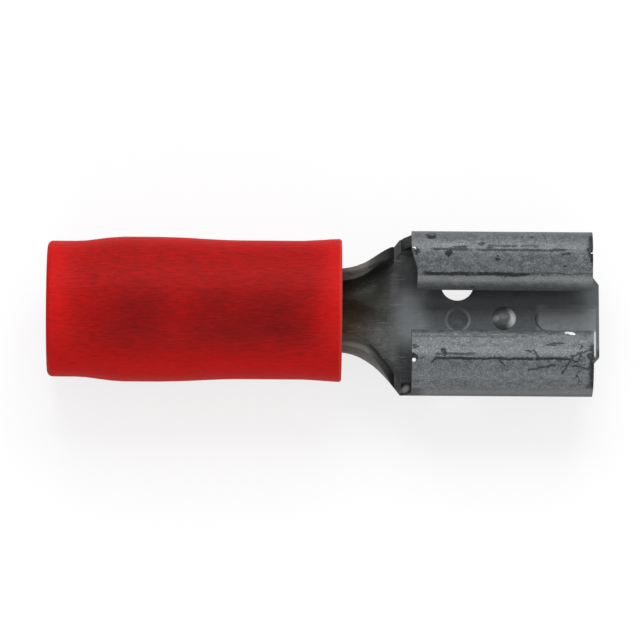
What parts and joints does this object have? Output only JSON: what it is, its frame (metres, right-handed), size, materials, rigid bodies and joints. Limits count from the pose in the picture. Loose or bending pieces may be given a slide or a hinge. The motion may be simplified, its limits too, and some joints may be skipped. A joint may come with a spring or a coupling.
{
  "type": "flat crimp connector, female push-on",
  "caption": "Female push-on crimp connector: a folded receptacle with curled walls for a flat tab, a trough neck, and a crimp barrel in a red insulating sleeve.",
  "frame": {"origin": "on the wire barrel's axis, at the barrel's wire mouth inside the sleeve", "axes": "+X along the connector towards the tab, so the wire leaves along -X; +Z out of the open side of the receptacle; +Y to the left when looking along +X"},
  "size_m": [0.0188, 0.0056, 0.005],
  "materials": {
    "tinned_brass": "satin",
    "soft_vinyl": "satin"
  },
  "bodies": {
    "root": {"terminal": "tinned_brass", "insulating_sleeve": "soft_vinyl"}
  },
  "joints": []
}
